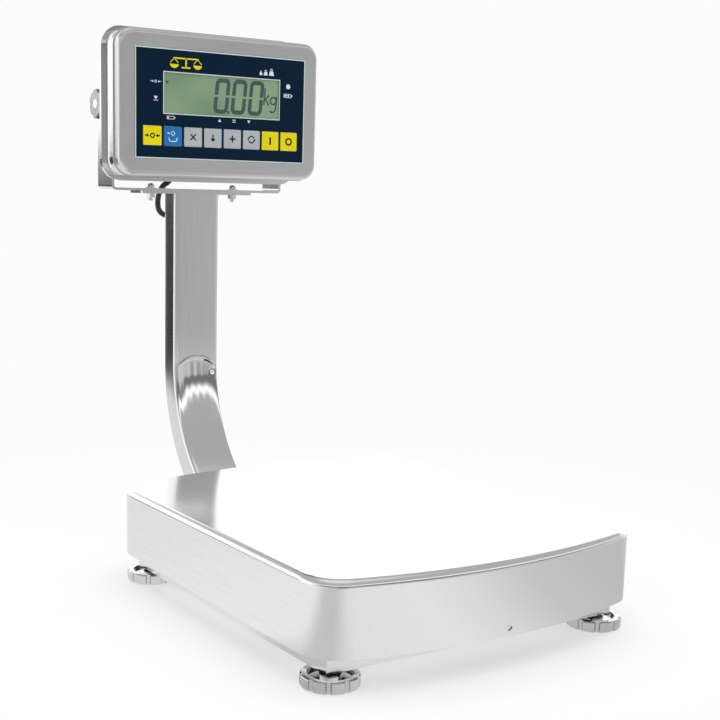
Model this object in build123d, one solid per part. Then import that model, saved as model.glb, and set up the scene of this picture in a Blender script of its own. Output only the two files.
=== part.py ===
from build123d import *
from math import cos, pi, radians, sin, sqrt, tan
import os

# Bench scale: a stainless platform on four levelling feet, with a bent column at the back
# that holds a tilting indicator. Millimetres, X to the right, Y to the back, Z up.
# Shapes are drawn from the middle of the platform at floor level. save() then moves them so
# that the row's origin is the bottom centre of the whole object's box.

# ---- driving dimensions ----

pan_w = 300.0
pan_half_d = 182.0
pan_bow = 23.0              # how far the middle of the front edge stands out past its ends
pan_corner_r = 33.0
pan_top = 82.0
pan_bottom = 26.0
pan_edge_r = 5.5
pan_t = 1.5

base_w = 270.0
base_d = 298.0
base_bottom = 11.5
base_top = 44.0
base_t = 2.0

foot_x = 126.0
foot_y = 140.5
wheel_r = 21.6
wheel_top = 9.5
stud_r = 4.0

post_y = 315.0              # centre plane of the column, the yoke and the tilt axis
column_w = 49.2
column_d = 25.6
column_t = 2.0
column_top = 329.5
bend_z = 165.0              # where the upright ends and the bend begins
bend_r = 153.0              # centreline radius of the large bend
bend_angle = 50.0           # the rest of the quarter turn is a tighter bend under the platform
column_end_y = 97.0

tilt_z = 411.0              # height of the tilt axis and of the indicator's centre
face_y = 253.0              # front face of the indicator
cover_w = 211.0
cover_h = 130.0
cover_d = 12.0
cover_r = 15.0
flange_w = 211.0
flange_h = 140.0
flange_r = 19.0
shell_back_y = 297.0
box_w = 172.0
box_h = 98.0
box_back_y = 345.0
sheet_t = 1.5

panel_w = 180.5
panel_h = 99.0
lcd_w = 122.5
lcd_h = 36.5
lcd_z = 10.0                # centre of the display above the indicator's centre
key_w = 18.4
key_h = 17.2
key_pitch = 20.8
key_z = -28.8
key_travel = 0.4

cable_r = 2.75
run_fit = 0.05              # radial clearance of a turning or sliding fit
gap = 0.3                   # clearance between bodies that pass each other
m8_r = 4.0                  # screws by their thread, drawn as plain bars
m8_hole_r = 4.1
m6_r = 3.0
m6_hole_r = 3.1
m5_r = 2.5
m5_hole_r = 2.7

# ---- worked-out sizes ----

base_floor = base_bottom + base_t
tube_z = base_floor + column_d / 2          # centreline of the column's flat end in the base
yoke_t = 2.5
plate_t = 2.5
yoke_z = column_top + plate_t               # underside of the yoke's base strip
yoke_half_d = 16.0
yoke_out = 92.5
mid_y = (box_back_y - pan_half_d) / 2       # middle of the object from front to back


# ---- helpers ----

def save(shape, node):
    """Move a shape into the row's frame and write it."""
    export_step(Location((0, -mid_y, 0)) * shape, f"parts/{node}.step")


def block(x0, x1, y0, y1, z0, z1):
    size = (x1 - x0, y1 - y0, z1 - z0)
    return Location(((x0 + x1) / 2, (y0 + y1) / 2, (z0 + z1) / 2)) * Box(*size)


def rod(x, y, z0, z1, r):
    """Upright round bar."""
    return Location((x, y, (z0 + z1) / 2)) * Cylinder(r, z1 - z0)


def rod_x(x0, x1, y, z, r):
    return Location(((x0 + x1) / 2, y, z), (0, 90, 0)) * Cylinder(r, x1 - x0)


def rod_y(x, y0, y1, z, r):
    return Location((x, (y0 + y1) / 2, z), (90, 0, 0)) * Cylinder(r, y1 - y0)


def upright(sketch, y0, y1, z=tilt_z, x=0.0):
    """Raise a sketch, drawn as seen from the front, from y0 back to y1."""
    plane = Plane(origin=(x, y0, z), x_dir=(1, 0, 0), z_dir=(0, 1, 0))
    return extrude(plane * sketch, y1 - y0)


def slab(w, h, r, y0, y1, x=0.0, z=tilt_z):
    """Upright plate with rounded corners, centred on x and z."""
    return upright(RectangleRounded(w, h, r), y0, y1, z, x)


def hex_nut(x, y, z0, z1, flat, bore_r):
    body = extrude(Location((x, y, z0)) * RegularPolygon(flat / 2, 6, major_radius=False), z1 - z0)
    return body - rod(x, y, z0 - 1, z1 + 1, bore_r)


def washer(x, y, z0, z1, r, bore_r):
    return rod(x, y, z0, z1, r) - rod(x, y, z0 - 1, z1 + 1, bore_r)


def socket_bolt(x, y, z_end, z_seat, r, up=True):
    """Cap screw on an upright axis. Its head starts at z_seat, above it if up, below if not."""
    head_r = 1.7 * r
    head_h = 1.8 * r
    if up:
        head = fillet(rod(x, y, z_seat, z_seat + head_h, head_r).edges().group_by(Axis.Z)[-1], 0.5)
        socket = rod(x, y, z_seat + head_h / 2, z_seat + head_h + 1, 0.8 * r)
        shank = rod(x, y, z_end, z_seat + 0.5, r)
    else:
        head = fillet(rod(x, y, z_seat - head_h, z_seat, head_r).edges().group_by(Axis.Z)[0], 0.5)
        socket = rod(x, y, z_seat - head_h - 1, z_seat - head_h / 2, 0.8 * r)
        shank = rod(x, y, z_seat - 0.5, z_end, r)
    return head + shank - socket


def corners(half_x, half_y):
    return [(x, y) for x in (-half_x, half_x) for y in (-half_y, half_y)]


# ---- platform ----

def pan_outline(inset=0.0):
    """Plan of the platform: straight sides, bowed front and back edges, rounded corners."""
    half_w = pan_w / 2
    bow_r = (half_w ** 2 + pan_bow ** 2) / (2 * pan_bow)
    w = half_w - inset
    r = bow_r - inset
    bow_centre = pan_half_d - bow_r
    side = bow_centre + sqrt(r ** 2 - w ** 2)
    edge = pan_half_d - inset
    front = ThreePointArc((-w, -side), (0, -edge), (w, -side))
    right = Line((w, -side), (w, side))
    back = ThreePointArc((w, side), (0, edge), (-w, side))
    left = Line((-w, side), (-w, -side))
    face = make_face([front, right, back, left])
    return fillet(face.vertices(), pan_corner_r - inset)


def make_pan():
    outside = extrude(Location((0, 0, pan_bottom)) * pan_outline(), pan_top - pan_bottom)
    outside = fillet(outside.edges().group_by(Axis.Z)[-1], pan_edge_r)
    hollow_h = pan_top - pan_t - pan_bottom + 1
    inside = extrude(Location((0, 0, pan_bottom - 1)) * pan_outline(pan_t), hollow_h)
    inside = fillet(inside.edges().group_by(Axis.Z)[-1], pan_edge_r - pan_t)
    half_w = column_w / 2 + 3.4
    notch_top = tube_z + column_d / 2 + 4.2
    column_notch = block(-half_w, half_w, pan_half_d - 12, pan_half_d + 5, pan_bottom - 1, notch_top)
    front_hole = rod_y(0, -pan_half_d - 5, -pan_half_d + 10, pan_bottom + 7.2, 2.8)
    return outside - inside - column_notch - front_hole


receiver_bottom = 65.0
receiver_top = 71.0
cell_bottom = 19.0
cell_top = 59.0
cell_half_w = 17.5
cell_half_l = 75.0
cell_screws = (50.0, 66.0)     # distances of the cell's end screws from its middle
cell_thread_depth = 20.0
flexure_r = 15.0
flexure_y = 16.0
cushion_x = 112.0
cushion_y = 126.0
cushion_r = 10.0
plug_r = 3.0
arm_half_w = 14.0
rib_x = 26.0
rib_half_w = 2.5
rib_h = 4.0
stop_x = 100.0
stop_y = 118.0
stop_gap = 0.8


def make_load_receiver():
    """Cross-shaped cast carrier under the platform: a spine with two cross arms."""
    plate = block(-32, 32, -cushion_y + 8, cushion_y - 8, receiver_bottom, receiver_top)
    arm_out = cushion_x + arm_half_w
    for y in (-cushion_y, cushion_y):
        arm = block(-arm_out, arm_out, y - arm_half_w, y + arm_half_w, receiver_bottom, receiver_top)
        plate = plate + fillet(arm.edges().filter_by(Axis.Z), 10)
    for x in (-rib_x, rib_x):
        plate = plate + block(x - rib_half_w, x + rib_half_w, -cushion_y, cushion_y,
                              receiver_top, receiver_top + rib_h)
    for x, y in corners(cushion_x, cushion_y):
        plate = plate - rod(x, y, receiver_bottom - 1, receiver_top + 1, plug_r + run_fit)
    for y in cell_screws:
        plate = plate - rod(0, y, receiver_bottom - 1, receiver_top + 1, m8_hole_r)
    return plate


def make_cushions():
    """Rubber buttons that the platform rests on, each with a plug in the carrier."""
    parts = []
    for x, y in corners(cushion_x, cushion_y):
        button = rod(x, y, receiver_top, pan_top - pan_t - gap, cushion_r)
        button = fillet(button.edges().group_by(Axis.Z)[-1], 2)
        parts.append(button + rod(x, y, receiver_bottom, receiver_top, plug_r))
    return Compound(parts)


def make_load_cell():
    """Single-point cell: a bar with two joined bores that form its flexures."""
    bar = block(-cell_half_w, cell_half_w, -cell_half_l, cell_half_l, cell_bottom, cell_top)
    mid = (cell_bottom + cell_top) / 2
    for y in (-flexure_y, flexure_y):
        bar = bar - rod_x(-cell_half_w - 1, cell_half_w + 1, y, mid, flexure_r)
    bar = bar - block(-cell_half_w - 1, cell_half_w + 1, -flexure_y, flexure_y, mid - 5, mid + 5)
    for y in cell_screws:
        bar = bar - rod(0, y, cell_top - cell_thread_depth, cell_top + 1, m8_hole_r)
        bar = bar - rod(0, -y, cell_bottom - 1, cell_bottom + cell_thread_depth, m8_hole_r)
    return bar


def make_spacer(y0, y1, z0, z1):
    plate = block(-cell_half_w, cell_half_w, y0, y1, z0, z1)
    for y in cell_screws:
        centre = y if y0 > 0 else -y
        plate = plate - rod(0, centre, z0 - 1, z1 + 1, m8_hole_r)
    return plate


def make_overload_stops():
    """Screws standing in the base, just under the carrier's arms."""
    parts = []
    for x, y in corners(stop_x, stop_y):
        screw = rod(x, y, base_floor, receiver_bottom - stop_gap, m8_r)
        parts.append(screw + rod(x, y, base_floor, base_floor + 8, 2 * m8_r))
    return Compound(parts)


# ---- base and feet ----

clamp_bolts = [(x, y) for x in (-38, 38) for y in (108, 128)]
bush_h = 14.0
bush_r = 6.5


def make_base_frame():
    """Open welded tray with square corners. The column comes in through its back wall."""
    half_w = base_w / 2
    half_d = base_d / 2
    tray = block(-half_w, half_w, -half_d, half_d, base_bottom, base_top)
    room = block(-half_w + base_t, half_w - base_t, -half_d + base_t, half_d - base_t,
                 base_floor, base_top + 1)
    tray = tray - room
    slot_half_w = column_w / 2 + 2 * gap
    tray = tray - block(-slot_half_w, slot_half_w, half_d - base_t - 1, half_d + 1,
                        base_floor, tube_z + column_d / 2 + 1)
    for x, y in corners(foot_x, foot_y):
        tray = tray - rod(x, y, base_bottom - 1, base_floor + 1, stud_r + 1)
    for x, y in clamp_bolts:
        tray = tray - rod(x, y, base_bottom - 1, base_floor + 1, m6_hole_r)
    for y in cell_screws:
        tray = tray - rod(0, -y, base_bottom - 1, base_floor + 1, m8_hole_r)
    return tray


def make_foot_bushes():
    """Threaded blocks welded in the base's corners, drawn with plain bores."""
    top = base_floor + bush_h
    bore_r = stud_r + run_fit
    return Compound([washer(x, y, base_floor, top, bush_r, bore_r) for x, y in corners(foot_x, foot_y)])


pad_top = 2.6
pad_r = 15.0
pivot_r = 3.0
pivot_h = 2.0


def make_foot_pad(x, y):
    """Rubber button under a levelling wheel. It stands still while the wheel turns on it."""
    pad = rod(x, y, 0, pad_top, pad_r)
    return fillet(pad.edges().group_by(Axis.Z)[0], 0.8) + rod(x, y, pad_top, pad_top + pivot_h, pivot_r)


def make_foot_wheel(x, y):
    """Fluted levelling wheel with its stud."""
    groove_count = 10
    groove_r = 2.2
    wheel = rod(x, y, 1.0, wheel_top, wheel_r)
    wheel = fillet(wheel.edges(), 1.2)
    wheel = wheel - washer(x, y, wheel_top - 2.5, wheel_top + 1, 16.5, 8)
    wheel = wheel - rod(x, y, 0, pad_top + gap, pad_r + gap)
    for i in range(groove_count):
        turn = 2 * pi * (i + 0.5) / groove_count
        wheel = wheel - rod(x + wheel_r * cos(turn), y + wheel_r * sin(turn), 0, wheel_top + 1, groove_r)
    wheel = wheel + rod(x, y, wheel_top - 0.5, base_floor + bush_h + 8, stud_r)
    return wheel - rod(x, y, 0, pad_top + pivot_h + gap, pivot_r + run_fit)


# ---- column ----

arc_y = post_y - bend_r                      # centre of the large bend
knee_y = arc_y + bend_r * cos(radians(bend_angle))
knee_z = bend_z - bend_r * sin(radians(bend_angle))
foot_bend_r = (knee_z - tube_z) / (1 - cos(radians(90 - bend_angle)))
flat_y = knee_y - foot_bend_r * sin(radians(90 - bend_angle))


def column_path(x, z_start, y_end):
    """Centreline of the column from z_start down, round both bends and forward to y_end."""
    half = radians(bend_angle / 2)
    big_mid = (x, arc_y + bend_r * cos(half), bend_z - bend_r * sin(half))
    rest = radians((90 - bend_angle) / 2)
    small_mid = (x, flat_y + foot_bend_r * sin(rest), tube_z + foot_bend_r * (1 - cos(rest)))
    knee = (x, knee_y, knee_z)
    flat = (x, flat_y, tube_z)
    return [
        Line((x, post_y, z_start), (x, post_y, bend_z)),
        ThreePointArc((x, post_y, bend_z), big_mid, knee),
        ThreePointArc(knee, small_mid, flat),
        Line(flat, (x, y_end, tube_z)),
    ]


def swept_tube(z_start, y_end, w, d, r):
    path = Wire(column_path(0, z_start, y_end))
    start = Plane(origin=(0, post_y, z_start), x_dir=(1, 0, 0), z_dir=(0, 0, -1))
    return sweep(start * RectangleRounded(w, d, r), path=path)


column_r = 4.0
grommet_x = -8.0
grommet_z = 306.0
grommet_r = 6.0


def make_column():
    """Rectangular tube with a large swept bend, open at both ends."""
    inner_w = column_w - 2 * column_t
    inner_d = column_d - 2 * column_t
    outer = swept_tube(column_top, column_end_y, column_w, column_d, column_r)
    bore = swept_tube(column_top + 1, column_end_y - 1, inner_w, inner_d, column_r - column_t)
    cable_hole = rod_y(grommet_x, post_y + 5, post_y + column_d, grommet_z, grommet_r)
    return outer - bore - cable_hole


clamp_wall = 3.0


def make_column_clamp():
    """Strap over the column's flat end, bolted to the base."""
    wall = clamp_wall
    half = column_w / 2 + gap
    top = tube_z + column_d / 2 + gap
    y0, y1 = 100, 136
    strap = block(-half - wall, half + wall, y0, y1, base_floor, top + wall)
    strap = strap - block(-half, half, y0 - 1, y1 + 1, base_floor - 1, top)
    for side in (-1, 1):
        inner, outer = sorted((side * (half + wall - 0.5), side * 48))
        strap = strap + block(inner, outer, y0, y1, base_floor, base_floor + wall)
    for x, y in clamp_bolts:
        strap = strap - rod(x, y, base_floor - 1, base_floor + wall + 1, m6_hole_r)
    return strap


def make_clamp_bolts():
    end = base_floor + 9
    return Compound([socket_bolt(x, y, end, base_bottom, m6_r, up=False) for x, y in clamp_bolts])


def make_clamp_nuts():
    z0 = base_floor + clamp_wall
    return Compound([hex_nut(x, y, z0, z0 + 5, 10, m6_r + run_fit) for x, y in clamp_bolts])


plate_half_w = 61.0
yoke_bolt_x = 45.0


def make_top_plate():
    plate = block(-plate_half_w, plate_half_w, post_y - yoke_half_d, post_y + yoke_half_d,
                  column_top, column_top + plate_t)
    plate = fillet(plate.edges().filter_by(Axis.Z), 5)
    for x in (-yoke_bolt_x, yoke_bolt_x):
        plate = plate - rod(x, post_y, column_top - 1, yoke_z + 1, m5_hole_r)
    return plate


# ---- yoke, clamp screws and knobs ----

boss_r = 9.0
washer_t = 1.0
knob_in = yoke_out + washer_t + 0.2
knob_out = 102.0
screw_r = 4.0
screw_in = 79.0


def make_yoke():
    """One bent strip: a base and two arms with round ends about the tilt axis."""
    bend = 4.5
    outer = block(-yoke_out, yoke_out, post_y - yoke_half_d, post_y + yoke_half_d, yoke_z, tilt_z)
    outer = fillet(outer.edges().filter_by(Axis.Y).group_by(Axis.Z)[0], bend)
    inner_w = yoke_out - yoke_t
    inner = block(-inner_w, inner_w, post_y - yoke_half_d - 1, post_y + yoke_half_d + 1,
                  yoke_z + yoke_t, tilt_z + 50)
    inner = fillet(inner.edges().filter_by(Axis.Y).group_by(Axis.Z)[0], bend - yoke_t)
    strip = outer - inner
    for side in (-1, 1):
        x0, x1 = sorted((side * inner_w, side * yoke_out))
        strip = strip + rod_x(x0, x1, post_y, tilt_z, yoke_half_d)
        strip = strip - rod_x(x0 - 1, x1 + 1, post_y, tilt_z, screw_r + 0.4)
    for x in (-yoke_bolt_x, yoke_bolt_x):
        strip = strip - rod(x, post_y, yoke_z - 1, yoke_z + yoke_t + 1, m5_hole_r)
    return strip


def make_yoke_bolts():
    """Dome-headed screws through the yoke and the column's top plate."""
    parts = []
    head_r = 4.2
    seat = yoke_z + yoke_t + washer_t
    for x in (-yoke_bolt_x, yoke_bolt_x):
        dome = Location((x, post_y, seat)) * Sphere(head_r) & rod(x, post_y, seat, seat + 5, head_r)
        parts.append(dome + rod(x, post_y, column_top - 7, seat + 0.5, m5_r))
    return Compound(parts)


def make_yoke_washers():
    z0 = yoke_z + yoke_t
    z1 = z0 + washer_t
    return Compound([washer(x, post_y, z0, z1, 5.5, m5_r + run_fit) for x in (-yoke_bolt_x, yoke_bolt_x)])


def make_yoke_nuts():
    z0 = column_top - 4
    bore_r = m5_r + run_fit
    return Compound([hex_nut(x, post_y, z0, column_top, 8, bore_r) for x in (-yoke_bolt_x, yoke_bolt_x)])


def make_knob(side):
    """Six-lobed knob on the end of the clamp screw."""
    lobe_count = 6
    knob_r = 13.8
    hollow_r = 4.0
    hollow_out = knob_r + 1.4
    x0, x1 = sorted((side * knob_in, side * knob_out))
    knob = rod_x(x0, x1, post_y, tilt_z, knob_r)
    knob = fillet(knob.edges(), 1.5)
    for i in range(lobe_count):
        turn = 2 * pi * i / lobe_count
        y = post_y + hollow_out * cos(turn)
        z = tilt_z + hollow_out * sin(turn)
        knob = knob - rod_x(x0 - 1, x1 + 1, y, z, hollow_r)
    return knob - rod_x(x0 - 1, x1 + 1, post_y, tilt_z, screw_r)


def make_clamp_screw(side):
    x0, x1 = sorted((side * screw_in, side * knob_out))
    return rod_x(x0, x1, post_y, tilt_z, screw_r)


def make_yoke_discs():
    """Plastic friction discs between the yoke's arms and the knobs."""
    parts = []
    for side in (-1, 1):
        x0, x1 = sorted((side * yoke_out, side * (yoke_out + washer_t)))
        disc = rod_x(x0, x1, post_y, tilt_z, 12) - rod_x(x0 - 1, x1 + 1, post_y, tilt_z, screw_r + 0.4)
        parts.append(disc)
    return Compound(parts)


# ---- indicator housing ----

def key_places():
    return [(i - 3.5) * key_pitch for i in range(8)]


recess_d = 0.8
panel_proud = 0.2
plunger_r = 2.5
gasket_y = face_y + cover_d
shell_y = gasket_y + 1.5
board_y = face_y + 12.5
gland_x = -12.0
gland_y = 337.0
gland_thread_r = 4.5
rim_t = 1.0
flange_t = 4.5
pillars = (94.0, 54.0)         # pillars for the cover's screws, out from the centre
board_posts = (80.0, 40.0)
board_t = 1.6


def make_front_cover():
    """Pressed front with a rim, a shallow seat for the panel and openings behind it."""
    cover = slab(cover_w, cover_h, cover_r, face_y, gasket_y)
    cover = fillet(cover.edges().group_by(Axis.Y)[0], 4.2)
    rim_w = cover_w + 2 * rim_t
    rim_h = cover_h + 2 * rim_t
    cover = cover + slab(rim_w, rim_h, cover_r + rim_t, gasket_y - rim_t, gasket_y)
    room = slab(cover_w - 4, cover_h - 4, cover_r - 2, face_y + 2, gasket_y + 1)
    cover = cover - fillet(room.edges().group_by(Axis.Y)[0], 2.5)
    cover = cover - slab(panel_w + 0.4, panel_h + 0.4, 1.5, face_y - 1, face_y + recess_d)
    cover = cover - slab(lcd_w - 4, lcd_h - 4, 1.0, face_y - 1, face_y + 3, z=tilt_z + lcd_z)
    for x in key_places():
        cover = cover - rod_y(x, face_y - 1, face_y + 3, tilt_z + key_z, plunger_r + 1)
    return cover


def make_gasket():
    ring = slab(cover_w - 0.5, cover_h - 0.5, cover_r - 0.5, gasket_y, shell_y)
    return ring - slab(cover_w - 8, cover_h - 8, cover_r - 4, gasket_y - 1, shell_y + 1)


def shell_solid(t, lip_w, lip_h, lip_r):
    """Rear shell drawn t inside its skin: a barrelled body, a lip round its back and a box behind."""
    flange_y = shell_back_y - flange_t
    rings = []
    for y, w, h in (
        (shell_y, cover_w - 4, cover_h - 4),
        ((shell_y + flange_y) / 2, cover_w - 3, cover_h),
        (flange_y, flange_w - 9, flange_h - 8),
    ):
        plane = Plane(origin=(0, y, tilt_z), x_dir=(1, 0, 0), z_dir=(0, 1, 0))
        rings.append(plane * RectangleRounded(w - 2 * t, h - 2 * t, cover_r - t))
    lip = slab(lip_w, lip_h, lip_r, flange_y, shell_back_y - t)
    lip = fillet(lip.edges().group_by(Axis.Y)[-1], 0.9)
    box = slab(box_w - 2 * t, box_h - 2 * t, 12 - t, flange_y, box_back_y - t)
    box = fillet(box.edges().group_by(Axis.Y)[-1], 3 - t)
    return loft(rings) + lip + box


def make_rear_shell():
    inner_w = flange_w - 9 - 2 * sheet_t
    inner_h = flange_h - 8 - 2 * sheet_t
    outside = shell_solid(0, flange_w, flange_h, flange_r)
    inside = shell_solid(sheet_t, inner_w, inner_h, cover_r - sheet_t)
    shell = outside - inside
    shell = shell - slab(cover_w - 8, cover_h - 8, cover_r - 3, shell_y - 1, shell_y + 2)
    box_floor = tilt_z - box_h / 2
    shell = shell - rod(gland_x, gland_y, box_floor - 5, box_floor + 5, gland_thread_r + 0.1)
    for side in (-1, 1):
        x0, x1 = sorted((side * (box_w / 2 - 5), side * (box_w / 2 + 5)))
        shell = shell - rod_x(x0, x1, post_y, tilt_z, boss_r + run_fit)
    return shell


def make_side_bosses():
    """Threaded bosses welded in the box's sides for the clamp screws."""
    parts = []
    for side in (-1, 1):
        x0, x1 = sorted((side * (box_w / 2 - 8), side * (yoke_out - yoke_t - gap)))
        boss = rod_x(x0, x1, post_y, tilt_z, boss_r)
        parts.append(boss - rod_x(x0 - 1, x1 + 1, post_y, tilt_z, screw_r + run_fit))
    return Compound(parts)


def make_cover_screws():
    """Screws that draw the cover on to the shell, from bars inside the shell's back wall."""
    parts = []
    seat = shell_back_y - sheet_t
    for x, z in corners(*pillars):
        head = rod_y(x, seat - 4, seat, tilt_z + z, 3.6)
        parts.append(head + rod_y(x, face_y + 6, seat - 3.5, tilt_z + z, 1.5))
    return Compound(parts)


def make_cover_pillars():
    """Threaded pillars welded inside the front cover, drawn with plain bores."""
    parts = []
    for x, z in corners(*pillars):
        lug = rod_y(x, face_y + 2, face_y + 20, tilt_z + z, 3.5)
        parts.append(lug - rod_y(x, face_y + 5, face_y + 21, tilt_z + z, 1.55))
    for x, z in corners(*board_posts):
        post = rod_y(x, face_y + 2, board_y, tilt_z + z, 2.8)
        parts.append(post - rod_y(x, face_y + 4, board_y + 1, tilt_z + z, 1.3))
    return Compound(parts)


# ---- panel, keys and display ----

def make_panel():
    """Front panel sheet with a display window and eight key windows."""
    y0 = face_y - panel_proud
    y1 = face_y + recess_d
    sheet = slab(panel_w, panel_h, 1.3, y0, y1)
    sheet = sheet - slab(lcd_w, lcd_h, 1.0, y0 - 1, y1 + 1, z=tilt_z + lcd_z)
    for x in key_places():
        sheet = sheet - slab(key_w + 2 * gap, key_h + 2 * gap, 1.1, y0 - 1, y1 + 1, x, tilt_z + key_z)
    return sheet


def make_window():
    return slab(lcd_w, lcd_h, 1.0, face_y - panel_proud, face_y + recess_d - 0.2, z=tilt_z + lcd_z)


def make_key(x):
    """Key pad with the plunger behind it."""
    y0 = face_y - panel_proud
    back = face_y + recess_d - key_travel - 0.1
    pad = slab(key_w, key_h, 0.8, y0, back, x, tilt_z + key_z)
    return pad + rod_y(x, back - 0.1, face_y + 7, tilt_z + key_z, plunger_r)


def make_lcd_module():
    y0 = face_y + 2.3
    return slab(lcd_w + 6, lcd_h + 8, 1.0, y0, y0 + 5.5, z=tilt_z + lcd_z)


def make_display_board():
    """Circuit board with a push switch soldered on it behind each key."""
    board = slab(176, 96, 3, board_y, board_y + board_t)
    for x, z in corners(*board_posts):
        board = board - rod_y(x, board_y - 1, board_y + 3, tilt_z + z, 1.6)
    tip = face_y + 7 + key_travel + 0.2
    for x in key_places():
        board = board + slab(6, 6, 0.5, board_y - 3.5, board_y + 0.1, x, tilt_z + key_z)
        board = board + rod_y(x, tip, board_y - 3.4, tilt_z + key_z, 1.7)
    return board


def make_display_screws():
    parts = []
    seat = board_y + board_t
    for x, z in corners(*board_posts):
        head = rod_y(x, seat, seat + 2, tilt_z + z, 2.6)
        parts.append(head + rod_y(x, face_y + 6, seat + 0.5, tilt_z + z, 1.25))
    return Compound(parts)


main_y = 283.0


def make_main_board():
    board = slab(150, 84, 3, main_y, main_y + board_t)
    for x, z in ((-45, 18), (-20, -20), (10, 22), (48, 10)):
        board = board + slab(18, 12, 0.5, main_y - 3, main_y + 0.1, x, tilt_z + z)
    board = board + slab(30, 8, 0.5, main_y + 1.5, main_y + 9, gland_x + 20, tilt_z - 34)
    return board


def make_main_board_posts():
    parts = []
    for x, z in corners(68, 34):
        parts.append(rod_y(x, main_y + board_t, box_back_y - sheet_t, tilt_z + z, 3))
    return Compound(parts)


def make_battery():
    pack = block(-62, 38, 300, 338, tilt_z - 22, tilt_z + 26)
    return fillet(pack.edges(), 3)


# ---- cable ----

gland_top = tilt_z - box_h / 2
gland_end = gland_top - 13.0


def make_gland():
    """Cable gland in the underside of the indicator's box."""
    collar_h = 5.0
    hexagon = RegularPolygon(6.5, 6, major_radius=False)
    collar = extrude(Location((gland_x, gland_y, gland_top - collar_h)) * hexagon, collar_h)
    dome = rod(gland_x, gland_y, gland_end, gland_top - collar_h + 0.1, 6.0)
    dome = fillet(dome.edges().group_by(Axis.Z)[0], 2)
    thread = rod(gland_x, gland_y, gland_top - 1, gland_top + 8, gland_thread_r)
    gland = collar + dome + thread
    return gland - rod(gland_x, gland_y, gland_end - 1, gland_top + 9, cable_r)


def make_gland_nut():
    z0 = gland_top + sheet_t
    return hex_nut(gland_x, gland_y, z0, z0 + 4, 10, gland_thread_r + run_fit)


grommet_out_y = post_y + column_d / 2 + 2
grommet_in_y = post_y + column_d / 2 - column_t - 1.5

# Route of the cable, from the gland's mouth down and straight in through the grommet.
lead_route = [
    (gland_x, gland_y, gland_end),
    (-12.5, 337.0, 341.5),
    (-21.5, 338.0, 337.0),
    (-26.5, 338.5, 323.5),
    (-24.5, 338.5, 309.5),
    (grommet_x, 339.5, grommet_z),
    (grommet_x, grommet_in_y, grommet_z),
]


def corner_radii(points):
    """Each arc takes 0.45 of the shorter run beside it."""
    radii = []
    for a, b, c in zip(points, points[1:], points[2:]):
        into = Vector(*b) - Vector(*a)
        out = Vector(*c) - Vector(*b)
        half_turn = radians(into.get_angle(out)) / 2
        radii.append(0.45 * min(into.length, out.length) / tan(half_turn))
    return radii


def tube_along(path, start, direction):
    section = Plane(origin=start, z_dir=direction) * Circle(cable_r)
    return sweep(section, path=path)


def make_indicator_lead():
    radii = corner_radii(lead_route)
    path = FilletPolyline(*lead_route, radius=radii)
    start = Vector(*lead_route[0])
    tube = tube_along(Wire(path.edges()), start, Vector(*lead_route[1]) - start)
    length = sum(e.length for e in path.edges())
    plain_volume = pi * cable_r ** 2 * length
    print("lead radii", [round(r, 1) for r in radii])
    print("lead length", round(length, 1), "volume over plain tube", round(tube.volume / plain_volume, 4))
    return tube


def make_grommet():
    """Rubber sleeve gripping the edge of the column's cable hole."""
    wall_y = post_y + column_d / 2
    sleeve = rod_y(grommet_x, grommet_in_y, grommet_out_y, grommet_z, grommet_r + 2)
    groove = rod_y(grommet_x, wall_y - column_t, wall_y, grommet_z, grommet_r + 3)
    groove = groove - rod_y(grommet_x, wall_y - column_t - 1, wall_y + 1, grommet_z, grommet_r)
    bore = rod_y(grommet_x, grommet_in_y - 1, grommet_out_y + 1, grommet_z, cable_r + run_fit)
    return sleeve - groove - bore


def make_column_lead():
    """Cable inside the column: it turns down behind the grommet and runs to the load cell."""
    turn_r = grommet_in_y - post_y
    down_z = grommet_z - turn_r
    half = radians(45)
    start = (grommet_x, grommet_in_y, grommet_z)
    middle = (grommet_x, grommet_in_y - turn_r * sin(half), down_z + turn_r * cos(half))
    turn = ThreePointArc(start, middle, (grommet_x, post_y, down_z))
    path = Wire([turn] + column_path(grommet_x, down_z, cell_half_l + 0.5))
    return tube_along(path, Vector(*start), Vector(0, -1, 0))


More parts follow.
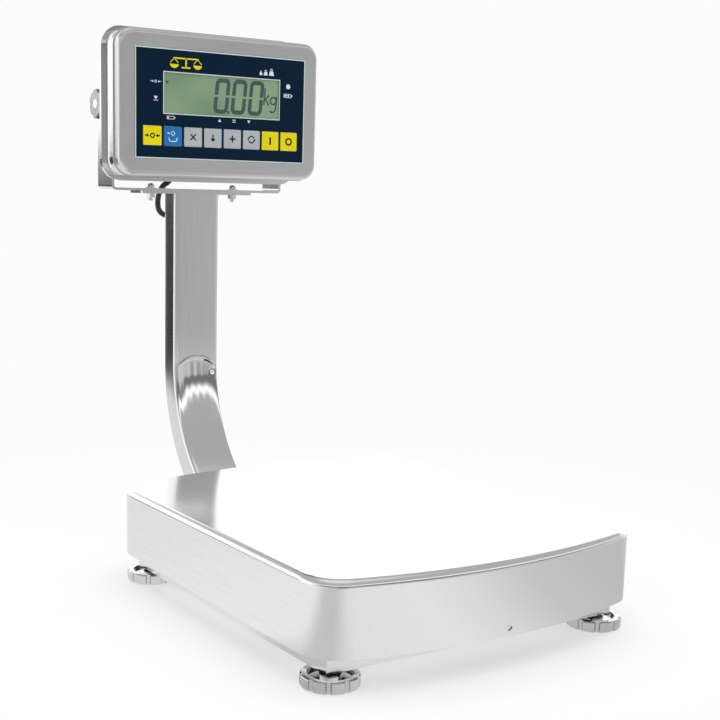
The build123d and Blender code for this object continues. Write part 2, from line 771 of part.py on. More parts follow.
def main():
    os.makedirs("parts", exist_ok=True)
    save(make_pan(), "pan")
    save(make_load_receiver(), "load_receiver")
    save(make_cushions(), "platform_cushions")
    save(make_load_cell(), "load_cell")
    save(make_spacer(-cell_half_l, -40, base_floor, cell_bottom), "cell_spacer_lower")
    save(make_spacer(40, cell_half_l, cell_top, receiver_bottom), "cell_spacer_upper")
    lower = [socket_bolt(0, -y, cell_bottom + 18, base_bottom, m8_r, up=False) for y in cell_screws]
    upper = [socket_bolt(0, y, cell_top - 18, receiver_top, m8_r) for y in cell_screws]
    save(Compound(lower), "cell_bolts_lower")
    save(Compound(upper), "cell_bolts_upper")
    save(make_overload_stops(), "overload_stops")
    save(make_base_frame(), "base_frame")
    save(make_foot_bushes(), "foot_bushes")
    for name, x, y in (("fl", -foot_x, -foot_y), ("fr", foot_x, -foot_y),
                       ("rl", -foot_x, foot_y), ("rr", foot_x, foot_y)):
        save(make_foot_pad(x, y), f"foot_pad_{name}")
        save(make_foot_wheel(x, y), f"foot_wheel_{name}")
    save(make_column(), "column")
    save(make_column_clamp(), "column_clamp")
    save(make_clamp_bolts(), "column_clamp_bolts")
    save(make_clamp_nuts(), "column_clamp_nuts")
    save(make_top_plate(), "column_top_plate")
    save(make_yoke(), "yoke")
    save(make_yoke_bolts(), "yoke_bolts")
    save(make_yoke_washers(), "yoke_washers")
    save(make_yoke_nuts(), "yoke_nuts")
    save(make_yoke_discs(), "yoke_discs")
    for name, side in (("left", -1), ("right", 1)):
        save(make_knob(side), f"knob_{name}")
        save(make_clamp_screw(side), f"clamp_screw_{name}")
    save(make_front_cover(), "front_cover")
    save(make_gasket(), "cover_gasket")
    save(make_rear_shell(), "rear_shell")
    save(make_side_bosses(), "side_bosses")
    save(make_cover_screws(), "cover_screws")
    save(make_cover_pillars(), "cover_pillars")
    save(make_panel(), "membrane_panel")
    save(make_window(), "display_window")
    save(make_lcd_module(), "lcd_module")
    names = ("zero", "tare", "clear", "recall", "add", "mode", "on", "off")
    for name, x in zip(names, key_places()):
        save(make_key(x), f"key_{name}")
    save(make_display_board(), "display_board")
    save(make_display_screws(), "display_screws")
    save(make_main_board(), "main_board")
    save(make_main_board_posts(), "main_board_posts")
    save(make_battery(), "battery_pack")
    save(make_gland(), "cable_gland")
    save(make_gland_nut(), "gland_nut")
    save(make_grommet(), "column_grommet")
    save(make_indicator_lead(), "indicator_lead")
    save(make_column_lead(), "column_lead")


main()
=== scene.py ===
import math

import bpy
from mathutils import Matrix, Vector


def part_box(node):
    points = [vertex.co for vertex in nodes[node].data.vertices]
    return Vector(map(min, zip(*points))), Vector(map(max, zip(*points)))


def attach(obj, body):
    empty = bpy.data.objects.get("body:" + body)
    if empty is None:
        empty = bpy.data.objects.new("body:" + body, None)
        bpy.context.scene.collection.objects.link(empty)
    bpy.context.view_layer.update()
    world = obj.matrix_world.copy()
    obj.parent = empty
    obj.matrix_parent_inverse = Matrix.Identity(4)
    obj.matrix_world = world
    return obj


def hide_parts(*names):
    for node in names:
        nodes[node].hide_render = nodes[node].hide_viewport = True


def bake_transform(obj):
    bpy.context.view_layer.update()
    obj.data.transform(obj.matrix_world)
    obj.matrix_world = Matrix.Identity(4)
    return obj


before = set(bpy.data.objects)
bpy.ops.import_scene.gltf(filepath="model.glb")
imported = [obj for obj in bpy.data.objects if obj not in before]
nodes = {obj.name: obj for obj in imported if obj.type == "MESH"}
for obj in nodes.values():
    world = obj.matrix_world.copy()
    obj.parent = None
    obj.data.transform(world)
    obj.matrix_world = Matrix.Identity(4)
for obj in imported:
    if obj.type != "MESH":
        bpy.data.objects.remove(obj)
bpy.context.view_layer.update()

# A bench scale: polished platform, swept column and a tilting indicator with a printed panel.
# Metres, in the CAD frame: X to the right, Y to the back, Z up. Sketches on the panel are in
# millimetres from the panel's centre, x to the right and z up.

MM = 0.001


# ---- camera ----

def make_camera():
    """A camera placed by its position, heading, pitch and roll, with a small shift of the frame."""
    heading, pitch, roll = math.radians(33.98), math.radians(-10.2), math.radians(1.53)
    data = bpy.data.cameras.new("camera")
    data.lens = 64.71
    data.sensor_width = 36.0
    data.shift_x = 0.0292
    data.shift_y = 0.0827
    data.clip_start = 0.05
    data.clip_end = 60.0
    camera = bpy.data.objects.new("camera", data)
    flat = math.cos(pitch)
    forward = Vector((math.sin(heading) * flat, math.cos(heading) * flat, math.sin(pitch)))
    level = Vector((math.cos(heading), -math.sin(heading), 0.0))
    up = level.cross(forward)
    right = level * math.cos(roll) + up * math.sin(roll)
    top = up * math.cos(roll) - level * math.sin(roll)
    turn = Matrix((right, top, -forward)).transposed()
    place = Matrix.Translation(Vector((-0.6009, -0.9291, 0.3406)))
    camera.matrix_world = place @ turn.to_4x4()
    bpy.context.scene.collection.objects.link(camera)
    bpy.context.scene.camera = camera


# ---- node helpers ----

NOISE_ROUGH = 0.6


class Nodes:
    """Short way to build a material's or world's node tree."""

    def __init__(self, owner):
        owner.use_nodes = True
        self.tree = owner.node_tree
        self.tree.nodes.clear()

    def add(self, kind, **values):
        node = self.tree.nodes.new(kind)
        for name, value in values.items():
            setattr(node, name, value)
        return node

    def link(self, out, into):
        self.tree.links.new(out, into)

    def ramp(self, source, stops):
        """Ramp through (place, value) stops. A value is a grey or a colour."""
        node = self.add("ShaderNodeValToRGB")
        elements = node.color_ramp.elements
        while len(elements) < len(stops):
            elements.new(0.5)
        for element, (place, value) in zip(elements, stops):
            element.position = place
            colour = value if isinstance(value, tuple) else (value, value, value)
            element.color = (*colour, 1.0)
        self.link(source, node.inputs["Fac"])
        return node.outputs["Color"]

    def stretched_noise(self, scale, detail):
        """Noise in row coordinates with its own scale along each axis."""
        place = self.add("ShaderNodeTexCoord")
        mapping = self.add("ShaderNodeMapping")
        mapping.inputs["Scale"].default_value = scale
        self.link(place.outputs["Object"], mapping.inputs["Vector"])
        noise = self.add("ShaderNodeTexNoise")
        noise.inputs["Scale"].default_value = 1.0
        noise.inputs["Detail"].default_value = detail
        noise.inputs["Roughness"].default_value = NOISE_ROUGH
        self.link(mapping.outputs["Vector"], noise.inputs["Vector"])
        return noise.outputs["Fac"]

    def bump(self, height, strength, distance):
        node = self.add("ShaderNodeBump")
        node.inputs["Strength"].default_value = strength
        node.inputs["Distance"].default_value = distance
        self.link(height, node.inputs["Height"])
        return node.outputs["Normal"]

    def surface(self, shader):
        out = self.add("ShaderNodeOutputMaterial")
        self.link(shader, out.inputs["Surface"])


def new_material(name):
    material = bpy.data.materials.new(name)
    return material, Nodes(material)


def principled(n, metallic=0.0, rough=0.5, colour=None, coat=0.0, specular=0.5):
    shader = n.add("ShaderNodeBsdfPrincipled")
    shader.inputs["Metallic"].default_value = metallic
    shader.inputs["Roughness"].default_value = rough
    shader.inputs["Coat Weight"].default_value = coat
    shader.inputs["Specular IOR Level"].default_value = specular
    if colour is not None:
        shader.inputs["Base Color"].default_value = (*colour, 1.0)
    return shader


# ---- materials ----

GRAIN_ACROSS = 2600.0      # grain lines per metre
GRAIN_ALONG = 22.0
MOULD_GRAIN = 1800.0       # noise scale of a moulded surface, per metre
FILM_ROUGH = 0.32


def grain_scale(axis):
    """Noise scale of a linear grain that runs along this axis."""
    return tuple(GRAIN_ALONG if i == axis else GRAIN_ACROSS for i in range(3))


def brushed_steel(name, axis, colour=0.74, rough=0.24, spread=0.12, depth=0.15):
    """Stainless sheet with grain along one axis, faint smears and handling marks."""
    material, n = new_material(name)
    shader = principled(n, metallic=1.0)
    grain = n.stretched_noise(grain_scale(axis), detail=2.0)
    smear = n.stretched_noise((9.0, 9.0, 9.0), detail=4.0)
    mix = n.add("ShaderNodeMath", operation="MULTIPLY_ADD")
    n.link(grain, mix.inputs[0])
    mix.inputs[1].default_value = 0.6
    n.link(smear, mix.inputs[2])
    low, high = rough - spread / 2, rough + spread / 2
    n.link(n.ramp(mix.outputs[0], [(0.45, low), (1.0, high)]), shader.inputs["Roughness"])
    dark, light = colour * 0.93, min(colour * 1.05, 1.0)
    n.link(n.ramp(grain, [(0.3, (dark, dark, dark * 1.005)), (0.7, (light, light, light * 1.005))]),
           shader.inputs["Base Color"])
    n.link(n.bump(grain, depth, 0.00003), shader.inputs["Normal"])
    n.surface(shader.outputs[0])
    return material


def bright_metal(name, colour=(0.82, 0.82, 0.83), rough=0.1, depth=0.1):
    """Polished or plated metal with fine pits and finger marks."""
    material, n = new_material(name)
    shader = principled(n, metallic=1.0, colour=colour)
    marks = n.stretched_noise((120.0, 120.0, 120.0), detail=5.0)
    n.link(n.ramp(marks, [(0.35, rough * 0.6), (0.75, rough * 1.9)]), shader.inputs["Roughness"])
    pits = n.stretched_noise((1500.0, 1500.0, 1500.0), detail=2.0)
    n.link(n.bump(pits, depth, 0.00002), shader.inputs["Normal"])
    n.surface(shader.outputs[0])
    return material


def moulded(name, colour, rough=0.5, depth=0.2):
    """Plastic or rubber with a fine moulded texture and slight tone changes."""
    material, n = new_material(name)
    shader = principled(n)
    tone = n.stretched_noise((35.0, 35.0, 35.0), detail=4.0)
    dark = tuple(c * 0.86 for c in colour)
    light = tuple(min(c * 1.14, 1.0) for c in colour)
    n.link(n.ramp(tone, [(0.3, dark), (0.7, light)]), shader.inputs["Base Color"])
    n.link(n.ramp(tone, [(0.3, rough * 0.85), (0.7, min(rough * 1.15, 1.0))]), shader.inputs["Roughness"])
    texture = n.stretched_noise((MOULD_GRAIN, MOULD_GRAIN, MOULD_GRAIN), detail=2.0)
    n.link(n.bump(texture, depth, 0.00004), shader.inputs["Normal"])
    n.surface(shader.outputs[0])
    return material


def printed_film(name, colour):
    """Printed polyester film: even colour, very fine tooth, satin gloss."""
    material, n = new_material(name)
    shader = principled(n, specular=0.12)
    tone = n.stretched_noise((60.0, 60.0, 60.0), detail=3.0)
    dark = tuple(c * 0.95 for c in colour)
    light = tuple(min(c * 1.05, 1.0) for c in colour)
    n.link(n.ramp(tone, [(0.3, dark), (0.7, light)]), shader.inputs["Base Color"])
    gloss = [(0.3, FILM_ROUGH * 0.9), (0.7, FILM_ROUGH * 1.15)]
    n.link(n.ramp(tone, gloss), shader.inputs["Roughness"])
    tooth = n.stretched_noise((4200.0, 4200.0, 4200.0), detail=1.0)
    n.link(n.bump(tooth, 0.08, 0.00002), shader.inputs["Normal"])
    n.surface(shader.outputs[0])
    return material


def clear_window(name):
    """Clear sheet that lets nearly all light through, with a faint gloss."""
    material, n = new_material(name)
    shader = principled(n, rough=0.08, colour=(0.5, 0.6, 0.55), specular=0.2)
    shader.inputs["Alpha"].default_value = 0.05
    n.surface(shader.outputs[0])
    return material


def display_film(name):
    """Grey-green reflective display with a soft change of tone from left to right."""
    material, n = new_material(name)
    shader = principled(n, rough=0.4, specular=0.1)
    tone = n.stretched_noise((14.0, 14.0, 22.0), detail=1.0)
    n.link(n.ramp(tone, [(0.35, (0.20, 0.33, 0.18)), (0.65, (0.29, 0.42, 0.25))]),
           shader.inputs["Base Color"])
    fine = n.stretched_noise((3000.0, 3000.0, 3000.0), detail=1.0)
    n.link(n.bump(fine, 0.05, 0.00002), shader.inputs["Normal"])
    n.surface(shader.outputs[0])
    return material


def circuit_board(name):
    """Green solder mask with slightly raised traces."""
    material, n = new_material(name)
    shader = principled(n, rough=0.35, coat=0.3)
    traces = n.stretched_noise((420.0, 420.0, 420.0), detail=1.0)
    bare, copper = (0.01, 0.09, 0.03), (0.02, 0.16, 0.06)
    n.link(n.ramp(traces, [(0.48, bare), (0.52, copper)]), shader.inputs["Base Color"])
    n.link(n.bump(traces, 0.2, 0.00004), shader.inputs["Normal"])
    n.surface(shader.outputs[0])
    return material


X, Y, Z = 0, 1, 2
materials = {
    "pan": brushed_steel("pan_steel", Y, colour=0.80, rough=0.15, spread=0.10, depth=0.10),
    "column": brushed_steel("column_steel", Z, colour=0.76, rough=0.11, spread=0.06, depth=0.12),
    "sheet": brushed_steel("sheet_steel", X, colour=0.74, rough=0.14, spread=0.08),
    "cover": brushed_steel("cover_steel", X, colour=0.70, rough=0.30, spread=0.16, depth=0.25),
    "cast": bright_metal("cast_aluminium", colour=(0.62, 0.63, 0.64), rough=0.35, depth=0.5),
    "bright": bright_metal("bright_steel", rough=0.12),
    # The wheels' chrome is darker than plain chrome: painted shade, standing in for the floor's shade near
    # the feet, which the floor's glow in reflections lacks.
    "chrome": bright_metal("wheel_chrome_painted_shade", colour=(0.62, 0.62, 0.63), rough=0.10),
    "knob": bright_metal("knob_satin", colour=(0.36, 0.36, 0.37), rough=0.18),
    "rubber": moulded("black_rubber", (0.025, 0.025, 0.026), rough=0.75),
    "dark": moulded("dark_plastic", (0.04, 0.04, 0.045), rough=0.5),
    "gland": moulded("gland_nylon", (0.02, 0.02, 0.021), rough=0.4),
    "jacket": moulded("cable_jacket", (0.022, 0.022, 0.023), rough=0.38, depth=0.1),
    "navy": printed_film("navy_film", (0.0, 0.013, 0.036)),
    "yellow": printed_film("yellow_film", (0.87, 0.76, 0.008)),
    "blue": printed_film("blue_film", (0.022, 0.19, 0.50)),
    "grey": printed_film("grey_film", (0.50, 0.52, 0.54)),
    "white": printed_film("white_ink", (0.80, 0.82, 0.84)),
    "black": printed_film("black_ink", (0.012, 0.012, 0.014)),
    "edge": printed_film("silver_edge", (0.66, 0.76, 0.74)),
    "window": clear_window("clear_window"),
    "display": display_film("display_film"),
    "segment": printed_film("display_segment", (0.030, 0.075, 0.060)),
    "board": circuit_board("circuit_board"),
}

FEET = ("fl", "fr", "rl", "rr")
FINISHES = {
    "pan": ["pan"],
    "column": ["column"],
    "sheet": ["base_frame", "column_clamp", "column_top_plate", "yoke", "rear_shell", "cell_spacer_lower",
              "cell_spacer_upper"],
    "cover": ["front_cover"],
    "cast": ["load_receiver", "load_cell"],
    "bright": ["cell_bolts_lower", "cell_bolts_upper", "overload_stops", "column_clamp_bolts",
               "column_clamp_nuts", "yoke_bolts", "yoke_washers", "yoke_nuts", "clamp_screw_left",
               "clamp_screw_right", "cover_screws", "display_screws", "main_board_posts", "foot_bushes",
               "side_bosses", "cover_pillars"],
    "chrome": [f"foot_wheel_{foot}" for foot in FEET],
    "knob": ["knob_left", "knob_right"],
    "rubber": ["platform_cushions", "cover_gasket", "column_grommet"] + [f"foot_pad_{foot}" for foot in FEET],
    "dark": ["yoke_discs", "battery_pack", "lcd_module"],
    "gland": ["cable_gland", "gland_nut"],
    "jacket": ["column_lead", "indicator_lead"],
    "navy": ["membrane_panel"],
    "yellow": ["key_zero", "key_on", "key_off"],
    "blue": ["key_tare"],
    "grey": ["key_clear", "key_recall", "key_add", "key_mode"],
    "window": ["display_window"],
    "board": ["display_board", "main_board"],
}


def finish_nodes():
    for finish, members in FINISHES.items():
        for name in members:
            slots = nodes[name].data.materials
            slots.clear()
            slots.append(materials[finish])


# ---- mesh helpers ----

def mesh_piece(name, verts, faces, material, smooth=False):
    mesh = bpy.data.meshes.new(name)
    mesh.from_pydata([tuple(v) for v in verts], [], faces)
    mesh.materials.append(material)
    if smooth:
        mesh.shade_smooth()
    mesh.update()
    piece = bpy.data.objects.new(name, mesh)
    bpy.context.scene.collection.objects.link(piece)
    return piece


panel_low, panel_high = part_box("membrane_panel")
panel_mid = (panel_low + panel_high) / 2
panel_front = panel_low.y
INK = 0.00004              # how far ink stands proud of what it is printed on


def prism(verts, faces, outline, y_front, y_back):
    """Add an upright prism with this outline, in panel millimetres, to verts and faces."""
    start = len(verts)
    count = len(outline)
    for y in (y_front, y_back):
        for x, z in outline:
            verts.append((panel_mid.x + x * MM, y, panel_mid.z + z * MM))
    faces.append(tuple(start + i for i in range(count)))
    faces.append(tuple(start + count + i for i in reversed(range(count))))
    for i in range(count):
        j = (i + 1) % count
        faces.append((start + i, start + count + i, start + count + j, start + j))


def area(outline):
    total = 0.0
    for (x0, z0), (x1, z1) in zip(outline, outline[1:] + outline[:1]):
        total += x0 * z1 - x1 * z0
    return total / 2


def ink(name, outlines, material, body, y_front=None, thick=INK):
    """Printed shapes as one thin piece on the panel."""
    front = panel_front - thick if y_front is None else y_front
    verts, faces = [], []
    for outline in outlines:
        turned = outline if area(outline) > 0 else outline[::-1]
        prism(verts, faces, turned, front, front + thick)
    piece = mesh_piece(name, verts, faces, material)
    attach(piece, body)
    return piece


# ---- sketches: each gives a list of closed outlines ----

def rect(x, z, w, h):
    return [[(x - w / 2, z - h / 2), (x + w / 2, z - h / 2), (x + w / 2, z + h / 2), (x - w / 2, z + h / 2)]]


def frame_of(x, z, w, h, t):
    """Rectangular frame of four bars, with w and h its outer size."""
    bars = rect(x, z + (h - t) / 2, w, t) + rect(x, z - (h - t) / 2, w, t)
    return bars + rect(x - (w - t) / 2, z, t, h - 2 * t) + rect(x + (w - t) / 2, z, t, h - 2 * t)


def arc(x, z, r, a0, a1, count=14):
    """Points on an arc, with angles in degrees from +x towards +z."""
    turns = [math.radians(a0 + (a1 - a0) * i / count) for i in range(count + 1)]
    return [(x + r * math.cos(t), z + r * math.sin(t)) for t in turns]


def disc(x, z, r):
    return [arc(x, z, r, 0, 360, 24)[:-1]]


def ribbon(points, width):
    """Outline of a line of that width through the points."""
    left, right = [], []
    for i, (x, z) in enumerate(points):
        ax, az = points[max(i - 1, 0)]
        bx, bz = points[min(i + 1, len(points) - 1)]
        length = math.hypot(bx - ax, bz - az)
        nx, nz = -(bz - az) / length, (bx - ax) / length
        left.append((x + nx * width / 2, z + nz * width / 2))
        right.append((x - nx * width / 2, z - nz * width / 2))
    return [left + right[::-1]]


def lines(width, *strokes):
    found = []
    for points in strokes:
        for a, b in zip(points, points[1:]):
            found += ribbon([a, b], width)
    return found


def arrow(x, z, length, head, width=0.5):
    """Flat arrow with its tip at x. A negative length points left."""
    side = 1 if length > 0 else -1
    tip = [(x, z), (x - side * head, z + head * 0.7), (x - side * head, z - head * 0.7)]
    shaft_mid = x - length / 2 - side * head / 2
    return [tip] + rect(shaft_mid, z, abs(length) - head, width)


def ring(x, z, r, width):
    return ribbon(arc(x, z, r, 0, 180, 16), width) + ribbon(arc(x, z, r, 180, 360, 16), width)


# ---- panel print ----

WINDOW_W, WINDOW_H = 122.5, 36.5
window_low, window_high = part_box("display_window")
window_x = ((window_low + window_high) / 2 - panel_mid).x / MM
window_z = ((window_low + window_high) / 2 - panel_mid).z / MM


def balance_sign(x, z):
    """Wide balance: a post on a foot, a beam and two hanging pans."""
    shapes = rect(x, z, 1.5, 8.4) + rect(x, z - 4.4, 9.0, 1.3) + rect(x, z + 3.7, 26.0, 1.3)
    for side in (-1, 1):
        pan_x = x + side * 12.0
        for reach in (-4.2, 4.2):
            shapes += lines(0.7, [(pan_x, z + 3.4), (pan_x + reach, z - 0.6)])
        shapes += [arc(pan_x, z - 0.5, 4.8, 195, 345, 12)]
    return shapes


def weight_sign(x, z, size):
    """Small cast weight with a ring on top."""
    body = [(x - size, z - size), (x + size, z - size), (x + size * 0.7, z + size * 0.4),
            (x - size * 0.7, z + size * 0.4)]
    return [body] + ring(x, z + size * 0.85, size * 0.38, size * 0.22)


def print_panel():
    """Silver edge lines, the pictograms and the display's frame."""
    edge = frame_of(0, 0, 180.3, 98.8, 1.1)
    edge += frame_of(window_x, window_z, WINDOW_W + 1.6, WINDOW_H + 1.6, 0.9)
    ink("panel_edge_lines", edge, materials["edge"], "indicator")
    ink("panel_balance_sign", balance_sign(-39, 37.6), materials["yellow"], "indicator")
    white = []
    for x, size in ((40.6, 1.7), (45.8, 2.2), (52.2, 2.8)):
        white += weight_sign(x, 32.2 + size, size)
    white += disc(71.2, 23.2, 2.3)
    white += frame_of(70.6, 14.6, 8.4, 3.6, 0.55) + rect(75.6, 14.6, 0.9, 1.6) + rect(68.6, 14.6, 2.6, 1.6)
    white += rect(71.6, 14.6, 1.6, 1.6)
    zero_x, zero_z = -69.5, 19.4
    white += arrow(zero_x - 2.0, zero_z, 3.4, 1.5, 0.5) + arrow(zero_x + 2.0, zero_z, -3.4, 1.5, 0.5)
    white += ring(zero_x, zero_z, 1.0, 0.5)
    white += [[(-69.5, 3.4), (-67.4, 6.4), (-71.6, 6.4)]] + rect(-69.5, 2.7, 4.6, 0.55)
    battery_x, row_z = -54.5, -12.1
    white += frame_of(battery_x, row_z, 7.6, 3.0, 0.5) + rect(battery_x + 4.4, row_z, 0.8, 1.3)
    white += rect(battery_x - 2.4, row_z, 1.5, 1.2)
    for x, shape in ((-3.5, "up"), (12.0, "bar"), (28.0, "down")):
        tip = {"up": 1.4, "bar": 0.0, "down": -1.4}[shape]
        if tip:
            white += [[(x - 1.7, row_z - tip), (x + 1.7, row_z - tip), (x, row_z + tip)]]
        else:
            white += rect(x, row_z + 0.9, 3.4, 0.7) + rect(x, row_z - 0.9, 3.4, 0.7)
    ink("panel_white_marks", white, materials["white"], "indicator")


# ---- display ----

SLOPE = 0.105             # the digits lean to the right
DIGIT_LOW, DIGIT_HIGH = -5.9, 26.4
DIGIT_W = 15.8
DIGIT_LEFTS = (-10.4, 8.0, 26.4)
SEGMENT_W = 3.9
DIGIT_SPLIT = 0.9         # half the gap between a digit's upper and lower halves


def lean(outline):
    return [(x + SLOPE * (z - DIGIT_LOW), z) for x, z in outline]


def zero_digit(x):
    """A seven-segment zero: two U shapes with a small gap between them at half height."""
    r = 3.4
    half = SEGMENT_W / 2
    x0, x1 = x + half, x + DIGIT_W - half
    mid = (DIGIT_LOW + DIGIT_HIGH) / 2
    top = DIGIT_HIGH - half
    upper = [(x0, mid + DIGIT_SPLIT), (x0, top - r)] + arc(x0 + r, top - r, r, 180, 90, 6)
    upper += arc(x1 - r, top - r, r, 90, 0, 6) + [(x1, top - r), (x1, mid + DIGIT_SPLIT)]
    lower = [(px, mid * 2 - pz) for px, pz in upper]
    shapes = []
    for side in (upper, lower):
        clean = [p for i, p in enumerate(side) if i == 0 or math.dist(p, side[i - 1]) > 1e-6]
        shapes += ribbon(clean, SEGMENT_W)
    return [lean(s) for s in shapes]


def unit_sign():
    """The letters kg, drawn as plain strokes."""
    stroke = 1.6
    k = lines(stroke, [(44.3, 4.4), (44.3, 20.4)], [(44.6, 9.0), (49.0, 13.9)], [(45.8, 10.6), (49.6, 4.4)])
    g = ribbon(arc(54.4, 9.0, 3.3, 0, 180, 12), stroke) + ribbon(arc(54.4, 9.0, 3.3, 180, 360, 12), stroke)
    g += ribbon([(57.6, 13.0), (57.6, 1.4)], stroke) + ribbon(arc(54.4, 1.4, 3.2, 0, -150, 10), stroke)
    return [[(x + 0.09 * z, z) for x, z in s] for s in k + g]


# Behind the clear window, in metres: a gap, the segments, then the film.
SEGMENT_SETBACK, SEGMENT_THICK, FILM_THICK = 0.00001, 0.00003, 0.00014


def make_display():
    """A reflective film behind the clear window, and its dark segments."""
    seat = window_high.y
    film = rect(window_x, window_z, WINDOW_W - 0.6, WINDOW_H - 0.6)
    film_front = seat + SEGMENT_SETBACK + SEGMENT_THICK
    piece = ink("display_film", film, materials["display"], "indicator", film_front, FILM_THICK)
    dark = []
    for x in DIGIT_LEFTS:
        dark += zero_digit(x)
    dark += [lean(s) for s in rect(5.9, -4.4, 2.6, 2.6)]
    dark += unit_sign()
    dark += [[(-59.6, 19.6), (-56.6, 21.3), (-56.6, 17.9)]]
    ink("display_segments", dark, materials["segment"], "indicator", seat + SEGMENT_SETBACK, SEGMENT_THICK)


# ---- key legends ----

def legend_zero(x, z):
    shapes = ring(x, z, 1.9, 1.2)
    return shapes + arrow(x - 3.2, z, 4.4, 2.4, 1.2) + arrow(x + 3.2, z, -4.4, 2.4, 1.2)


def legend_tare(x, z):
    mid, reach = z + 2.6, 2.2
    left, right = (x - reach, mid), (x + reach, mid)
    diamond = lines(0.6, [left, (x, mid + reach), right, (x, mid - reach), left])
    tray = lines(0.9, [(x - 4.4, z - 1.4), (x - 3.2, z - 4.6), (x + 3.2, z - 4.6), (x + 4.4, z - 1.4)])
    return diamond + tray + arrow(x - 3.0, z + 2.6, 3.0, 1.6, 0.6)


def legend_clear(x, z):
    return lines(1.2, [(x - 2.8, z - 2.8), (x + 2.8, z + 2.8)], [(x - 2.8, z + 2.8), (x + 2.8, z - 2.8)])


def legend_recall(x, z):
    return [[(x - 2.8, z - 0.4), (x + 2.8, z - 0.4), (x, z - 3.6)]] + rect(x, z + 1.5, 1.4, 4.0)


def legend_add(x, z):
    return rect(x, z, 6.4, 1.4) + rect(x, z + 1.95, 1.4, 2.6) + rect(x, z - 1.95, 1.4, 2.6)


def legend_mode(x, z):
    shapes = ribbon(arc(x, z + 0.4, 3.1, 20, 165), 1.1) + ribbon(arc(x, z + 0.4, 3.1, 200, 345), 1.1)
    shapes += [[(x - 4.5, z + 1.6), (x - 1.9, z + 2.0), (x - 3.4, z - 0.6)]]
    return shapes + [[(x + 4.5, z - 0.8), (x + 1.9, z - 1.2), (x + 3.4, z + 1.4)]]


def legend_on(x, z):
    return rect(x, z, 1.8, 7.2)


def legend_off(x, z):
    return ring(x, z, 3.0, 1.6)


def print_keys():
    legends = {"zero": legend_zero, "tare": legend_tare, "clear": legend_clear, "recall": legend_recall,
               "add": legend_add, "mode": legend_mode, "on": legend_on, "off": legend_off}
    for name, draw in legends.items():
        low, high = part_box(f"key_{name}")
        middle = ((low + high) / 2 - panel_mid) / MM
        colour = "white" if name == "tare" else "black"
        ink(f"legend_{name}", draw(middle.x, middle.z), materials[colour], f"key_{name}")


# ---- column ----

def smooth_step(t):
    t = min(max(t, 0.0), 1.0)
    return t * t * (3 - 2 * t)


COLUMN_W, COLUMN_D, COLUMN_WALL = 49.2 * MM, 25.6 * MM, 2.0 * MM
COLUMN_CORNER = 4.0 * MM
UPRIGHT = 164.5 * MM       # from the column's top to the start of the bend
BEND_R = 153.0 * MM
BEND_TURN = math.radians(50.0)
FINE_STEP = 0.75 * MM      # between rings just above the bend, where the crushed wall starts
FINE_COUNT = 16
COARSE_COUNT = 8
BEND_COUNT = 160           # rings round the bend, then round the knee, then along the flat foot
KNEE_COUNT = 30
FLAT_COUNT = 4
column_low, column_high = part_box("column")
flat_z = column_low.z + COLUMN_D / 2
upright_y = column_high.y - COLUMN_D / 2


def column_stations():
    """(centre, direction, distance past the start of the bend) down the column."""
    bend_z = column_high.z - UPRIGHT
    small_turn = math.pi / 2 - BEND_TURN
    knee_y = upright_y - BEND_R * (1 - math.cos(BEND_TURN))
    knee_z = bend_z - BEND_R * math.sin(BEND_TURN)
    small_r = (knee_z - flat_z) / (1 - math.cos(small_turn))
    flat_y = knee_y - small_r * math.sin(small_turn)
    stations = []
    fine_start = -FINE_STEP * FINE_COUNT
    coarse = [-UPRIGHT + (UPRIGHT + fine_start) * i / COARSE_COUNT for i in range(COARSE_COUNT)]
    fine = [fine_start + FINE_STEP * i for i in range(FINE_COUNT)]
    for past in coarse + fine:
        stations.append((Vector((0, upright_y, bend_z - past)), Vector((0, 0, -1)), past))
    for i in range(BEND_COUNT + 1):
        turn = BEND_TURN * i / BEND_COUNT
        point = Vector((0, upright_y - BEND_R * (1 - math.cos(turn)), bend_z - BEND_R * math.sin(turn)))
        stations.append((point, Vector((0, -math.sin(turn), -math.cos(turn))), BEND_R * turn))
    past = stations[-1][2]
    for i in range(1, KNEE_COUNT + 1):
        left = small_turn * (1 - i / KNEE_COUNT)
        point = Vector((0, flat_y + small_r * math.sin(left), flat_z + small_r * (1 - math.cos(left))))
        along = Vector((0, -math.cos(left), -math.sin(left)))
        stations.append((point, along, past + small_r * (small_turn - left)))
    last = stations[-1]
    end = Vector((0, column_low.y, flat_z))
    for i in range(1, FLAT_COUNT + 1):
        point = last[0].lerp(end, i / FLAT_COUNT)
        stations.append((point, Vector((0, -1, 0)), last[2] + (last[0] - point).length))
    return stations


CORNER_STEPS = 6


def section(w, d, r, per_side):
    """Rounded rectangle as (across, depth) offsets, with extra points along the front wall."""
    points = []
    corners = ((w / 2 - r, -d / 2 + r, -90), (w / 2 - r, d / 2 - r, 0), (-w / 2 + r, d / 2 - r, 90),
               (-w / 2 + r, -d / 2 + r, 180))
    for cx, cy, start in corners:
        for i in range(CORNER_STEPS + 1):
            a = math.radians(start + 90 * i / CORNER_STEPS)
            points.append((cx + r * math.cos(a), cy + r * math.sin(a)))
    for i in range(1, per_side):
        points.append((-w / 2 + r + (w - 2 * r) * i / per_side, -d / 2))
    return points


DISH_DEPTH = 3.6 * MM
DISH_STEP = 2.6 * MM       # the wall drops in over this length
DISH_FADE = (12 * MM, 64 * MM)
RIDGE_H = 0.5 * MM         # raised rim above the drop
RIPPLE_H = 0.14 * MM       # folds down the crushed wall
RIPPLE_WAVE = 1.2 * MM     # a fold and the hollow beside it are 2 pi times this wide
DENT_DEPTH = 1.5 * MM      # pinch at the right end of the rim
DENT_PLACE = (18.5 * MM, 10 * MM)
DENT_SIZE = (2.6 * MM, 4.5 * MM)
FRONT_POINTS = 60          # across the front wall, fine enough for the folds


